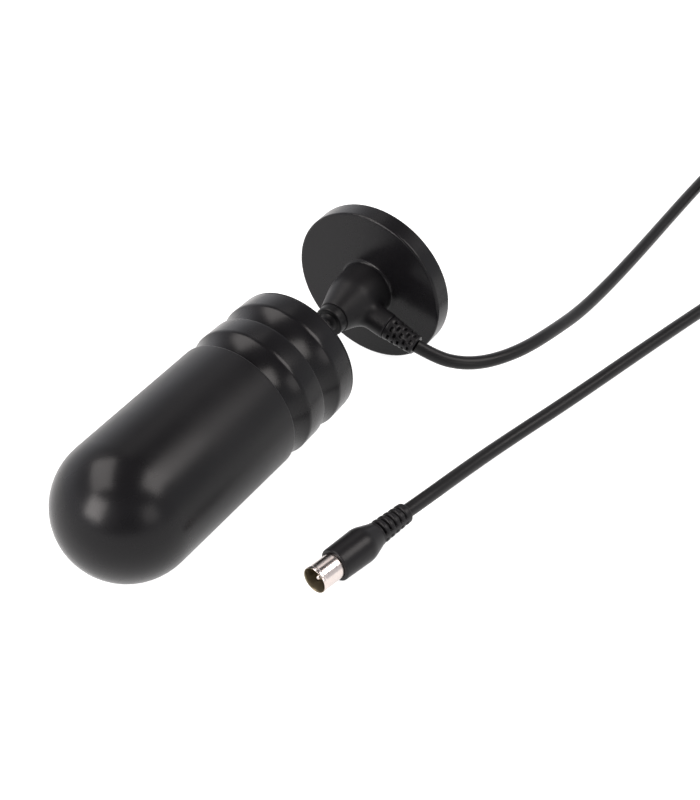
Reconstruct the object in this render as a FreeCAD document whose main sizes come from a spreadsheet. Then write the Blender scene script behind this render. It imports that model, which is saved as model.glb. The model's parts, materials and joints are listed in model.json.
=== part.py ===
"""Capsule aerial on a ball joint and a round foot, lying on a table with its lead.

Millimetres, +Z up. The origin is on the table, under the middle of the aerial.
The aerial is a body of revolution. Its own pieces are drawn along a local X axis
that starts at the centre of the dome, and one placement lays them all on the table:
the dome and the front rim of the foot touch it, so the axis is tipped by a few degrees.
"""
import FreeCAD, Part
import math
import os
import Sketcher

from FreeCAD import Placement, Rotation, Vector

X_AXIS = Vector(1, 0, 0)
Y_AXIS = Vector(0, 1, 0)
Z_AXIS = Vector(0, 0, 1)

# Driving dimensions: alias, value, what it is.
DIMENSIONS = [
    ("body_radius", 25.0, "outer radius of the capsule"),
    ("body_wall", 2.2, "wall of the dome and body"),
    ("body_end", 57.8, "dome centre to the end of the smooth body"),
    ("band_pitch", 17.3, "length of one ring band"),
    ("cove_length", 8.2, "length of the hollow before each crest"),
    ("crest_rise", 0.25, "how far a crest stands proud of the body"),
    ("edge_round", 0.9, "rounding at the end of the body and of each band"),
    ("spigot_length", 9.0, "part of the rear housing inside the body"),
    ("rear_wall", 2.3, "wall of the rear housing under its grooves"),
    ("boss_circle", 17.2, "radius of the circle of the end plate screws"),
    ("boss_radius", 3.2, "screw boss in the rear housing"),
    ("boss_length", 13.0, "screw boss in the rear housing"),
    ("pilot_radius", 1.0, "hole for a screw thread"),
    ("plate_rim", 0.8, "rim of the end plate that shows"),
    ("plate_thick", 2.4, "end plate"),
    ("plate_seam", 0.12, "gap between end plate and rear housing"),
    ("neck_base", 8.0, "radius of the cone on the end plate"),
    ("neck_tip", 4.6, "radius of the cone at its tip"),
    ("neck_length", 5.0, "length of the cone"),
    ("stem_radius", 2.2, "stem of the ball stud"),
    ("stem_bore", 1.3, "hole through the ball stud"),
    ("ball_radius", 4.5, "ball"),
    ("ball_gap", 0.03, "running clearance round the ball"),
    ("ball_station", 23.2, "flat end of the capsule to the ball's centre"),
    ("collar_radius", 5.7, "retaining collar where it shows"),
    ("collar_front", 2.6, "ball's centre to the front of the collar"),
    ("collar_back", 1.0, "ball's centre to the tip of the hub"),
    ("hub_bore", 5.1, "bore of the hub"),
    ("seat_length", 5.6, "ball seat behind the ball's centre"),
    ("face_station", 46.25, "flat end of the capsule to the face of the foot"),
    ("hub_tip", 6.1, "radius of the hub at its tip"),
    ("hub_cone", 8.9, "length of the hub's cone"),
    ("hub_cone_end", 9.15, "radius of the hub at the end of its cone"),
    ("hub_shoulder", 9.95, "radius of the hub behind its shoulder"),
    ("hub_foot", 10.6, "radius of the hub near the face of the foot"),
    ("hub_fillet", 1.2, "fillet between hub and face"),
    ("foot_radius", 30.65, "radius of the foot"),
    ("foot_thick", 8.25, "thickness of the foot, pad included"),
    ("foot_wall", 2.3, "front wall and skirt of the foot"),
    ("foot_round", 0.8, "rounding of the foot's front rim"),
    ("pad_proud", 0.8, "how far the pad stands out of the foot"),
    ("pad_thick", 1.6, "rubber pad"),
    ("magnet_inner", 14.5, "inner radius of the magnet"),
    ("magnet_outer", 26.0, "outer radius of the magnet"),
    ("magnet_thick", 3.0, "magnet"),
    ("keeper_thick", 1.35, "steel disc"),
    ("foot_boss_circle", 11.4, "radius of the circle of the foot screws"),
    ("relief_offset", 10.8, "face of the foot to the axis of the hub relief"),
    ("relief_drop", 17.0, "angle of the hub relief below the horizontal"),
    ("side_boss", 17.0, "hub's side boss, from the aerial's axis"),
    ("side_boss_radius", 4.95, "hub's side boss"),
    ("relief_end", 29.5, "hub relief, from the aerial's axis"),
    ("relief_big", 4.75, "hub relief at its root"),
    ("relief_small", 3.75, "hub relief at its end"),
    ("relief_core", 3.0, "bottom of the slots in both reliefs"),
    ("relief_slot", 1.1, "slots in both reliefs, lengthwise"),
    ("relief_neck", 3.4, "hub relief inside the side boss"),
    ("cable_radius", 2.5, "lead"),
    ("thin_radius", 0.9, "thin coax inside"),
    ("plug_ribs", 14.8, "length of the plug's segmented relief"),
    ("plug_cone", 6.2, "length of the plug's cone"),
    ("plug_body", 13.6, "length of the plug's body"),
    ("plug_radius", 6.3, "plug body where the cone begins"),
    ("plug_front", 5.95, "plug body at its front"),
    ("plug_rib_big", 4.3, "plug relief at the cone"),
    ("plug_rib_small", 3.65, "plug relief at the lead"),
    ("sleeve_length", 9.3, "sleeve outside the plug body"),
    ("sleeve_radius", 4.65, "sleeve"),
    ("sleeve_rim", 4.8, "bead at the mouth of the sleeve"),
    ("sleeve_wall", 0.25, "sleeve"),
    ("pin_radius", 1.17, "centre pin"),
    ("pin_length", 7.9, "centre pin outside the plug body"),
    ("coil_mean", 27.5, "middle turn of the put-away coil"),
    ("coil_width", 15.0, "coil, across its turns"),
    ("coil_height", 15.0, "coil, upwards"),
    ("tie_thick", 0.8, "tie round the coil"),
    ("tie_width", 8.0, "tie round the coil"),
]

# Points of the lead between its ends. The first stretch drops from the hub relief to the
# table and runs to the north side of the coil, and the second comes back to the plug.
LEAD_POINTS = [
    (69.0, -36.0, 17.8),
    (73.7, -42.9, 15.4),
    (80.4, -48.1, 13.7),
    (89.3, -52.1, 12.3),
    (101.5, -55.3, 10.7),
    (118.2, -56.9, 8.4),
    (140.2, -57.1, 4.2),
    (165.5, -56.7, 2.5),
    (195.0, -56.1, 2.5),
    (226.0, -54.9, 2.5),
    (250.0, -54.4, 3.0),
]
TAIL_POINTS = [
    (248.7, -112.3, 12.8),
    (231.0, -108.6, 9.4),
    (212.0, -104.4, 4.6),
    (192.0, -99.6, 2.5),
    (162.0, -93.2, 2.5),
    (133.0, -87.3, 2.5),
    (104.0, -81.6, 2.5),
    (84.6, -77.6, 2.5),
    (66.2, -73.5, 2.5),
    (47.9, -69.9, 2.8),
    (30.2, -67.7, 4.2),
    (15.3, -66.3, 5.7),
]
PLUG_PLACE = (-30.9, -59.3, 6.3)    # front face of the plug body
PLUG_HEADING = 171.3                # degrees about Z, towards the plug's tip
COIL_PLACE = (290.0, -86.8, 0.8)
LEAD_ENTERS = 90.0                  # degrees round the coil
TAIL_LEAVES = -100.4
STUB = 20.0                         # straight lead between the coil's ring and its tangent point


class Size:
    """A number together with the spreadsheet expression that gives it."""

    def __init__(self, value, text):
        self.value = value
        self.text = text

    @staticmethod
    def of(other):
        return other if isinstance(other, Size) else Size(float(other), repr(float(other)))

    def join(self, other, sign, value):
        return Size(value, "(%s %s %s)" % (self.text, sign, Size.of(other).text))

    def __add__(self, other):
        return self.join(other, "+", self.value + Size.of(other).value)

    def __sub__(self, other):
        return self.join(other, "-", self.value - Size.of(other).value)

    def __mul__(self, other):
        return self.join(other, "*", self.value * Size.of(other).value)

    def __truediv__(self, other):
        return self.join(other, "/", self.value / Size.of(other).value)

    def __radd__(self, other):
        return Size.of(other) + self

    def __rsub__(self, other):
        return Size.of(other) - self

    def __neg__(self):
        return Size.of(0) - self

    def root(self):
        return Size(math.sqrt(self.value), "sqrt(%s)" % self.text)


document = FreeCAD.newDocument("CapsuleAerial")
sheet = document.addObject("Spreadsheet::Sheet", "Sizes")
for row, (alias, value, meaning) in enumerate(DIMENSIONS, start=1):
    sheet.set("A%d" % row, meaning)
    sheet.set("B%d" % row, str(value))
    sheet.setAlias("B%d" % row, alias)
document.recompute()
SIZE = {alias: Size(value, "Sizes." + alias) for alias, value, _ in DIMENSIONS}


# ---------------------------------------------------------------- small helpers

def bind(thing, path, size):
    """Tie one property of a document object to the sheet."""
    thing.setExpression(path, Size.of(size).text)


def dimension(sketch, kind, place, size):
    """Add one dimensional constraint and tie it to the sheet."""
    size = Size.of(size)
    index = sketch.addConstraint(Sketcher.Constraint(kind, *place, size.value))
    if "Sizes." in size.text:
        sketch.setExpression("Constraints[%d]" % index, size.text)


def fix_point(sketch, geometry, point, x, y):
    dimension(sketch, "DistanceX", (-1, 1, geometry, point), x)
    dimension(sketch, "DistanceY", (-1, 1, geometry, point), y)


def arc_between(first, last, radius, turn):
    """An arc from first to last; turn is 1 anticlockwise and -1 clockwise."""
    chord = last - first
    half = chord.Length / 2
    rise = math.sqrt(max(radius * radius - half * half, 0.0))
    side = Vector(-chord.y, chord.x, 0).normalize() * turn
    centre = first + chord * 0.5 + side * rise
    start, stop = (first, last) if turn > 0 else (last, first)
    angles = [math.atan2(end.y - centre.y, end.x - centre.x) for end in (start, stop)]
    return Part.ArcOfCircle(Part.Circle(centre, Z_AXIS, radius), angles[0], angles[1])


def add_loop(sketch, corners):
    """A closed outline. A corner is (x, y), or (x, y, radius, turn) to reach it by an arc."""
    spots = [Vector(Size.of(c[0]).value, Size.of(c[1]).value, 0) for c in corners]
    ends = []
    for index, spot in enumerate(spots):
        after = (index + 1) % len(corners)
        reach = corners[after][2:]
        if reach:
            radius, turn = reach
            shape = arc_between(spot, spots[after], Size.of(radius).value, turn)
            geometry = sketch.addGeometry(shape, False)
            dimension(sketch, "Radius", (geometry,), radius)
            ends.append((geometry, 1, 2) if turn > 0 else (geometry, 2, 1))
        else:
            geometry = sketch.addGeometry(Part.LineSegment(spot, spots[after]), False)
            ends.append((geometry, 1, 2))
    for index, (geometry, first, last) in enumerate(ends):
        following = ends[(index + 1) % len(ends)]
        sketch.addConstraint(
            Sketcher.Constraint("Coincident", geometry, last, following[0], following[1])
        )
        fix_point(sketch, geometry, first, corners[index][0], corners[index][1])


def add_circle(sketch, x, y, radius):
    spot = Vector(Size.of(x).value, Size.of(y).value, 0)
    circle = Part.Circle(spot, Z_AXIS, Size.of(radius).value)
    geometry = sketch.addGeometry(circle, False)
    fix_point(sketch, geometry, 3, x, y)
    dimension(sketch, "Radius", (geometry,), radius)


def new_sketch(body, name, plane):
    sketch = body.newObject("Sketcher::SketchObject", name)
    planes = [f for f in body.Origin.OriginFeatures if f.Role == plane]
    sketch.AttachmentSupport = [(planes[0], "")]
    sketch.MapMode = "FlatFace"
    return sketch


def offset_sketch(body, name, plane, station):
    """A sketch moved along its own normal."""
    sketch = new_sketch(body, name, plane)
    bind(sketch, "AttachmentOffset.Base.z", station)
    return sketch


def new_body(label, placement):
    body = document.addObject("PartDesign::Body", label)
    body.Label = label
    body.Placement = placement
    return body


def turned(body, name, corners, cut=False):
    """Turn an outline drawn in X and radius about the body's X axis."""
    sketch = new_sketch(body, name + "_outline", "XY_Plane")
    add_loop(sketch, corners)
    kind = "PartDesign::Groove" if cut else "PartDesign::Revolution"
    feature = body.newObject(kind, name)
    feature.Profile = sketch
    feature.ReferenceAxis = (sketch, ["H_Axis"])
    feature.Angle = 360.0
    body.Tip = feature
    return feature


def extrude(body, name, sketch, length, cut=False, reversed_=False):
    feature = body.newObject("PartDesign::Pocket" if cut else "PartDesign::Pad", name)
    feature.Profile = sketch
    bind(feature, "Length", length)
    feature.Reversed = reversed_
    body.Tip = feature
    return feature


def around_x(body, name, feature, count):
    """Repeat a feature about the body's X axis."""
    pattern = body.newObject("PartDesign::PolarPattern", name)
    pattern.Originals = [feature]
    axes = [f for f in body.Origin.OriginFeatures if f.Role == "X_Axis"]
    pattern.Axis = (axes[0], [""])
    pattern.Angle = 360.0
    pattern.Occurrences = count
    body.Tip = pattern
    return pattern


def ring(label, placement, start, length, inner, outer):
    """A plain ring or tube about the local X axis."""
    body = new_body(label, placement)
    inner_size, outer_size = Size.of(inner), Size.of(outer)
    corners = [
        (start, inner_size), (Size.of(start) + length, inner_size),
        (Size.of(start) + length, outer_size), (start, outer_size),
    ]
    turned(body, label + "_turned", corners)
    return body


def cylinder(name, radius, length, placement):
    """A Part cylinder along its own Z."""
    thing = document.addObject("Part::Cylinder", name)
    bind(thing, "Radius", radius)
    bind(thing, "Height", length)
    thing.Placement = placement
    return thing


def along_x(place):
    """A placement at a local point with Z turned to point along local X."""
    return Placement(Vector(*place), Rotation(Y_AXIS, 90))


def along_minus_x(place):
    return Placement(Vector(*place), Rotation(Y_AXIS, -90))


def screw_group(label, placement, places, head_radius, head_thick, shank_radius, shank_length):
    """Pan-head screws, head first along each place's Z, as one group of separate solids."""
    screws = []
    for number, place in enumerate(places, start=1):
        name = "%s_%d" % (label, number)
        head = cylinder(name + "_head", head_radius, head_thick, place)
        shank_place = place.multiply(Placement(Vector(0, 0, head_thick), Rotation()))
        shank = cylinder(name + "_shank", shank_radius, shank_length, shank_place)
        screw = document.addObject("Part::MultiFuse", name)
        screw.Shapes = [head, shank]
        screws.append(screw)
    group = document.addObject("Part::Compound", label)
    group.Links = screws
    group.Label = label
    group.Placement = placement
    return group


# ---------------------------------------------------------------- layout

flat_end = SIZE["body_end"] + SIZE["band_pitch"] * 2
ball_centre = flat_end + SIZE["ball_station"]
foot_face = flat_end + SIZE["face_station"]
foot_back = foot_face + SIZE["foot_thick"]


def lie_on_table():
    """The dome and the foot's front rim touch the table."""
    dome = SIZE["body_radius"].value
    rim = SIZE["foot_radius"].value
    reach = foot_face.value
    tip = 0.0
    for _ in range(20):
        tip = math.asin((rim * math.cos(tip) - dome) / reach)
    length = foot_back.value * math.cos(tip) + rim * math.sin(tip)
    start = (dome - length) / 2
    return Placement(Vector(start, 0, dome), Rotation(Y_AXIS, -math.degrees(tip)))


AERIAL = lie_on_table()
RELIEF = AERIAL.multiply(
    Placement(
        Vector((foot_face - SIZE["relief_offset"]).value, 0, 0),
        Rotation(X_AXIS, SIZE["relief_drop"].value).multiply(Rotation(Z_AXIS, -90)),
    )
)
PLUG = Placement(Vector(*PLUG_PLACE), Rotation(Z_AXIS, PLUG_HEADING))
COIL = Placement(Vector(*COIL_PLACE), Rotation(Y_AXIS, -90))


# ---------------------------------------------------------------- capsule

def make_radome_shell():
    outer = SIZE["body_radius"]
    inner = outer - SIZE["body_wall"]
    rounding = SIZE["edge_round"]
    end = SIZE["body_end"]
    body = new_body("radome_shell", AERIAL)
    turned(body, "shell_turned", [
        (-inner, 0),
        (0, inner, inner, -1),
        (end, inner),
        (end, outer - rounding),
        (end - rounding, outer, rounding, 1),
        (0, outer),
        (-outer, 0, outer, 1),
    ])
    return body


def band(start):
    """Corners of one ring band, from the foot of its hollow to its rounded end."""
    outer = SIZE["body_radius"]
    groove = outer - SIZE["body_wall"]
    rounding = SIZE["edge_round"]
    crest = start + SIZE["cove_length"]
    end = start + SIZE["band_pitch"]
    return [
        (start, groove),
        (crest, outer + SIZE["crest_rise"], 22.0, 1),
        (end - rounding, outer),
        (end, outer - rounding, rounding, -1),
    ]


def make_rear_housing():
    outer = SIZE["body_radius"]
    groove = outer - SIZE["body_wall"]
    inner = groove - SIZE["rear_wall"]
    start = SIZE["body_end"]
    first_end = start + SIZE["band_pitch"]
    seam = flat_end - SIZE["plate_rim"] - SIZE["plate_seam"]
    body = new_body("rear_housing", AERIAL)
    second = band(first_end)
    turned(body, "rear_turned", [(start - SIZE["spigot_length"], groove)]
           + band(start)
           + second[:2]
           + [(seam - 0.25, outer), (seam, outer - 0.25), (seam, inner),
              (start - SIZE["spigot_length"], inner)])
    boss_start = flat_end - SIZE["plate_thick"] - SIZE["boss_length"]
    boss_sketch = offset_sketch(body, "rear_boss_outline", "YZ_Plane", boss_start)
    add_circle(boss_sketch, 0, SIZE["boss_circle"], SIZE["boss_radius"] + 1.0)
    boss = extrude(body, "rear_boss", boss_sketch, SIZE["boss_length"])
    around_x(body, "rear_bosses", boss, 3)
    hole_sketch = offset_sketch(body, "rear_hole_outline", "YZ_Plane", boss_start + 2.0)
    add_circle(hole_sketch, 0, SIZE["boss_circle"], SIZE["pilot_radius"])
    hole = extrude(body, "rear_hole", hole_sketch, SIZE["boss_length"], cut=True, reversed_=True)
    around_x(body, "rear_holes", hole, 3)
    return body


def make_end_plate():
    outer = SIZE["body_radius"]
    inner = outer - SIZE["body_wall"] - SIZE["rear_wall"]
    inside = flat_end - SIZE["plate_thick"]
    rim = flat_end - SIZE["plate_rim"]
    tip = flat_end + SIZE["neck_length"]
    bore = SIZE["stem_radius"] + 0.02
    body = new_body("end_plate", AERIAL)
    turned(body, "plate_turned", [
        (inside, bore),
        (inside, inner - 0.1),
        (rim, inner - 0.1),
        (rim, outer - 0.1),
        (flat_end - 0.35, outer - 0.1),
        (flat_end, outer - 0.45, 0.35, -1),
        (flat_end, SIZE["neck_base"] + 2.0),
        (flat_end + 1.6, SIZE["neck_base"], 2.4, 1),
        (tip, SIZE["neck_tip"]),
        (tip, bore),
    ])
    head = offset_sketch(body, "plate_head_outline", "YZ_Plane", flat_end)
    add_circle(head, 0, SIZE["boss_circle"], 2.3)
    sink = extrude(body, "plate_sink", head, 1.1, cut=True, reversed_=False)
    around_x(body, "plate_sinks", sink, 3)
    hole_outline = offset_sketch(body, "plate_hole_outline", "YZ_Plane", flat_end)
    add_circle(hole_outline, 0, SIZE["boss_circle"], SIZE["pilot_radius"] + 0.3)
    hole = extrude(body, "plate_hole", hole_outline, SIZE["plate_thick"] + 1.0, cut=True)
    around_x(body, "plate_holes", hole, 3)
    return body


def make_end_plate_screws():
    places = []
    for number in range(3):
        turn = math.radians(90 + 120 * number)
        spot = (
            flat_end.value - 0.15,
            SIZE["boss_circle"].value * math.cos(turn),
            SIZE["boss_circle"].value * math.sin(turn),
        )
        places.append(along_minus_x(spot))
    return screw_group("end_plate_screws", AERIAL, places, 2.1, 0.95,
                       SIZE["pilot_radius"], 9.0)


# ---------------------------------------------------------------- inside the capsule

BOARD_FRONT = -12.0
BOARD_BACK = 80.0
BOARD_HALF = 19.4
BOARD_THICK = 1.6
CARRIER_THICK = 2.0
NUT_THICK = 3.0
board_low = SIZE["thin_radius"] + 0.1
board_top = board_low + BOARD_THICK
BOARD_SCREWS = ((66.0, -7.5), (76.0, 7.5))


def make_antenna_board():
    body = new_body("antenna_board", AERIAL)
    sketch = offset_sketch(body, "board_outline", "XY_Plane", board_low)
    add_loop(sketch, [
        (BOARD_FRONT, -12.0),
        (-3.0, -BOARD_HALF),
        (70.0, -BOARD_HALF),
        (BOARD_BACK, -13.0),
        (BOARD_BACK, 13.0),
        (70.0, BOARD_HALF),
        (-3.0, BOARD_HALF),
        (BOARD_FRONT, 12.0),
    ])
    for x, y in BOARD_SCREWS:
        add_circle(sketch, x, y, 1.1)
    extrude(body, "board_pad", sketch, BOARD_THICK)
    return body


def make_radiator(side):
    """One tapered arm of the dipole, on the top of the board."""
    label = "radiator_left" if side > 0 else "radiator_right"
    body = new_body(label, AERIAL)
    sketch = offset_sketch(body, label + "_outline", "XY_Plane", board_top)
    add_loop(sketch, [(50.0, 1.2 * side), (50.0, 4.0 * side), (30.0, 17.5 * side),
                      (0.0, 17.5 * side), (-9.0, 11.0 * side), (-9.0, 3.0 * side),
                      (4.0, 9.0 * side), (28.0, 9.0 * side)])
    extrude(body, label + "_pad", sketch, 0.3)
    return body


BALUN_X = 58.0
BALUN_Z = board_top.value + 2.35


def make_balun():
    """A ferrite ring standing clear of the board, wound with ten turns of wire."""
    core_place = AERIAL.multiply(Placement(Vector(BALUN_X, 0, BALUN_Z), Rotation(Y_AXIS, -90)))
    core = ring("balun_core", core_place, -1.5, 3.0, 2.6, 4.8)
    turns = []
    for number in range(10):
        turn = document.addObject("Part::Torus", "winding_turn_%d" % (number + 1))
        turn.Radius1 = 2.15
        turn.Radius2 = 0.2
        spin = Rotation(Z_AXIS, 36 * number)
        place = spin.multVec(Vector(3.7, 0, 0)) + Vector(BALUN_X, 0, BALUN_Z)
        turn.Placement = Placement(place, spin.multiply(Rotation(X_AXIS, 90)))
        turns.append(turn)
    winding = document.addObject("Part::Compound", "balun_winding")
    winding.Label = "balun_winding"
    winding.Links = turns
    winding.Placement = AERIAL
    return core, winding


def make_board_carrier():
    """Two rails under the board, rising from a frame that the stud's nut clamps."""
    start = flat_end - SIZE["plate_thick"] - CARRIER_THICK
    body = new_body("board_carrier", AERIAL)
    frame = offset_sketch(body, "carrier_frame_outline", "YZ_Plane", start)
    add_loop(frame, [(-10.0, -6.0), (10.0, -6.0), (10.0, 6.0), (-10.0, 6.0)])
    add_circle(frame, 0, 0, SIZE["stem_radius"] + 0.05)
    extrude(body, "carrier_frame", frame, CARRIER_THICK)
    rails = offset_sketch(body, "carrier_rail_outline", "YZ_Plane", start)
    for side in (-1, 1):
        low, high = sorted((5.6 * side, 9.4 * side))
        add_loop(rails, [(low, -5.0), (high, -5.0), (high, board_low), (low, board_low)])
    extrude(body, "carrier_rails", rails, 27.0, reversed_=True)
    holes = offset_sketch(body, "carrier_hole_outline", "XY_Plane", board_low)
    for x, y in BOARD_SCREWS:
        add_circle(holes, x, y, 0.8)
    extrude(body, "carrier_holes", holes, 5.0, cut=True)
    return body


def make_board_screws():
    top = board_top.value + 0.9
    down = Rotation(X_AXIS, 180)
    places = [Placement(Vector(x, y, top), down) for x, y in BOARD_SCREWS]
    return screw_group("board_screws", AERIAL, places, 1.9, 0.9, 0.8, 5.5)


def make_board_foam():
    """A foam ring in the dome with a slot that the front of the board sits in."""
    body = new_body("board_foam", AERIAL)
    outer = SIZE["body_radius"] - SIZE["body_wall"]
    turned(body, "foam_turned", [(-6.0, 9.0), (2.0, 9.0), (2.0, outer - 0.1), (-6.0, outer - 0.9)])
    slot = offset_sketch(body, "foam_slot_outline", "YZ_Plane", 5.0)
    half = BOARD_HALF + 0.2
    top = board_top + 0.4
    add_loop(slot, [(-half, board_low), (half, board_low), (half, top), (-half, top)])
    extrude(body, "foam_slot", slot, 20.0, cut=True, reversed_=False)
    return body


def make_pigtail():
    """Thin coax from the board, through the stud, to the ball's centre."""
    start = 70.0
    length = ball_centre - start - 1.0
    thing = cylinder("pigtail", SIZE["thin_radius"], length,
                     AERIAL.multiply(along_x((start, 0, 0))))
    thing.Label = "pigtail"
    return thing


# ---------------------------------------------------------------- ball joint

def make_ball_stud():
    stem = SIZE["stem_radius"]
    bore = SIZE["stem_bore"]
    ball = SIZE["ball_radius"]
    tip = flat_end + SIZE["neck_length"]
    start = flat_end - SIZE["plate_thick"] - CARRIER_THICK - NUT_THICK - 1.0
    join = (ball * ball - stem * stem).root()
    back = (ball * ball - 2.4 * 2.4).root()
    body = new_body("ball_stud", AERIAL)
    turned(body, "stud_turned", [
        (start, bore),
        (start, stem),
        (tip, stem),
        (tip, 4.0),
        (tip + 1.4, 4.0),
        (tip + 2.6, stem),
        (ball_centre - join, stem),
        (ball_centre + back, 2.4, ball, -1),
        (ball_centre + back, 2.0),
        (ball_centre, bore),
    ])
    return body


def make_stud_nut():
    start = flat_end - SIZE["plate_thick"] - CARRIER_THICK - NUT_THICK
    body = new_body("stud_nut", AERIAL)
    sketch = offset_sketch(body, "nut_outline", "YZ_Plane", start)
    corner = 4.6
    add_loop(sketch, [
        (corner * math.cos(math.radians(60 * k)), corner * math.sin(math.radians(60 * k)))
        for k in range(6)
    ])
    add_circle(sketch, 0, 0, SIZE["stem_radius"])
    extrude(body, "nut_pad", sketch, NUT_THICK)
    return body


def make_retaining_collar():
    """Collar that shows at the hub's tip; a round recess in it holds the ball."""
    cup = SIZE["ball_radius"] + SIZE["ball_gap"]
    front = ball_centre - SIZE["collar_front"]
    tip = ball_centre + SIZE["collar_back"]
    mouth = (cup * cup - SIZE["collar_front"] * SIZE["collar_front"]).root()
    body = new_body("retaining_collar", AERIAL)
    turned(body, "collar_turned", [
        (front, mouth),
        (ball_centre, cup, cup, -1),
        (tip + 1.6, cup),
        (tip + 1.6, SIZE["hub_bore"]),
        (tip, SIZE["hub_bore"]),
        (tip, SIZE["collar_radius"]),
        (front + 0.6, SIZE["collar_radius"]),
        (front, SIZE["collar_radius"] - 0.6, 0.6, 1),
    ])
    return body


def make_ball_seat():
    """Cup behind the ball. It turns with the head."""
    cup = SIZE["ball_radius"] + SIZE["ball_gap"]
    gap = 0.05
    start = ball_centre + SIZE["collar_back"] + 1.6 + gap
    depth = start - ball_centre
    hole = 2.4
    mouth = (cup * cup - depth * depth).root()
    floor = (cup * cup - hole * hole).root()
    body = new_body("ball_seat", AERIAL)
    turned(body, "seat_turned", [
        (start, mouth),
        (ball_centre + floor, hole, cup, -1),
        (ball_centre + SIZE["seat_length"], hole),
        (ball_centre + SIZE["seat_length"], SIZE["hub_bore"] - gap),
        (start, SIZE["hub_bore"] - gap),
    ])
    return body


def make_seat_spring():
    """Disc spring between the cup and the hub's shoulder."""
    back = ball_centre + SIZE["seat_length"]
    body = new_body("seat_spring", AERIAL)
    turned(body, "spring_turned", [
        (back + 0.05, 2.7),
        (back + 0.45, 2.7),
        (back + 1.2, 4.9),
        (back + 0.8, 4.9),
    ])
    return body


# ---------------------------------------------------------------- foot

def make_foot_housing():
    hub_tip_station = ball_centre + SIZE["collar_back"]
    cone_end = hub_tip_station + SIZE["hub_cone"]
    fillet = SIZE["hub_fillet"]
    radius = SIZE["foot_radius"]
    rounding = SIZE["foot_round"]
    skirt_end = foot_back - SIZE["pad_proud"]
    inner_face = foot_face + SIZE["foot_wall"]
    shoulder = ball_centre + SIZE["seat_length"] + 1.2
    body = new_body("foot_housing", AERIAL)
    turned(body, "foot_outside", [
        (hub_tip_station, 0),
        (hub_tip_station, SIZE["hub_tip"] - 0.5),
        (hub_tip_station + 0.5, SIZE["hub_tip"], 0.5, -1),
        (cone_end, SIZE["hub_cone_end"]),
        (cone_end + 4.0, SIZE["hub_shoulder"], 15.6, -1),
        (foot_face - fillet, SIZE["hub_foot"]),
        (foot_face, SIZE["hub_foot"] + fillet, fillet, 1),
        (foot_face, radius - rounding),
        (foot_face + rounding, radius, rounding, -1),
        (skirt_end, radius),
        (skirt_end, 0),
    ])
    boss = new_sketch(body, "side_boss_outline", "XZ_Plane")
    boss.AttachmentOffset = Placement(Vector(), Rotation(X_AXIS, SIZE["relief_drop"].value))
    add_circle(boss, foot_face - SIZE["relief_offset"], 0, SIZE["side_boss_radius"])
    extrude(body, "side_boss", boss, SIZE["side_boss"])
    wall = SIZE["foot_wall"]
    turned(body, "foot_inside", [
        (shoulder + 1.0, 0),
        (shoulder + 1.0, SIZE["hub_tip"] + 0.5),
        (foot_face - fillet, SIZE["hub_foot"] - 2.2),
        (inner_face, SIZE["hub_foot"] - 2.2),
        (inner_face, radius - wall),
        (skirt_end + 1.0, radius - wall),
        (skirt_end + 1.0, 0),
    ], cut=True)
    turned(body, "hub_bore", [
        (hub_tip_station - 1.0, 0),
        (hub_tip_station - 1.0, SIZE["hub_bore"]),
        (shoulder, SIZE["hub_bore"]),
        (shoulder, 2.4),
        (shoulder + 1.0, 2.4),
        (shoulder + 1.0, 0),
    ], cut=True)
    hole = new_sketch(body, "side_hole_outline", "XZ_Plane")
    hole.AttachmentOffset = Placement(Vector(), Rotation(X_AXIS, SIZE["relief_drop"].value))
    add_circle(hole, foot_face - SIZE["relief_offset"], 0, SIZE["relief_neck"])
    extrude(body, "side_hole", hole, SIZE["side_boss"] + 1.0, cut=True, reversed_=True)
    posts = offset_sketch(body, "post_outline", "YZ_Plane", foot_face + 0.5)
    add_circle(posts, 0, SIZE["foot_boss_circle"], 2.6)
    post = extrude(body, "foot_post", posts, SIZE["foot_wall"] + SIZE["magnet_thick"] - 0.5)
    around_x(body, "foot_posts", post, 3)
    holes = offset_sketch(body, "post_hole_outline", "YZ_Plane",
                          foot_face + SIZE["foot_wall"] + SIZE["magnet_thick"])
    add_circle(holes, 0, SIZE["foot_boss_circle"], SIZE["pilot_radius"])
    post_hole = extrude(body, "post_hole", holes, 3.8, cut=True)
    around_x(body, "post_holes", post_hole, 3)
    return body


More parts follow.
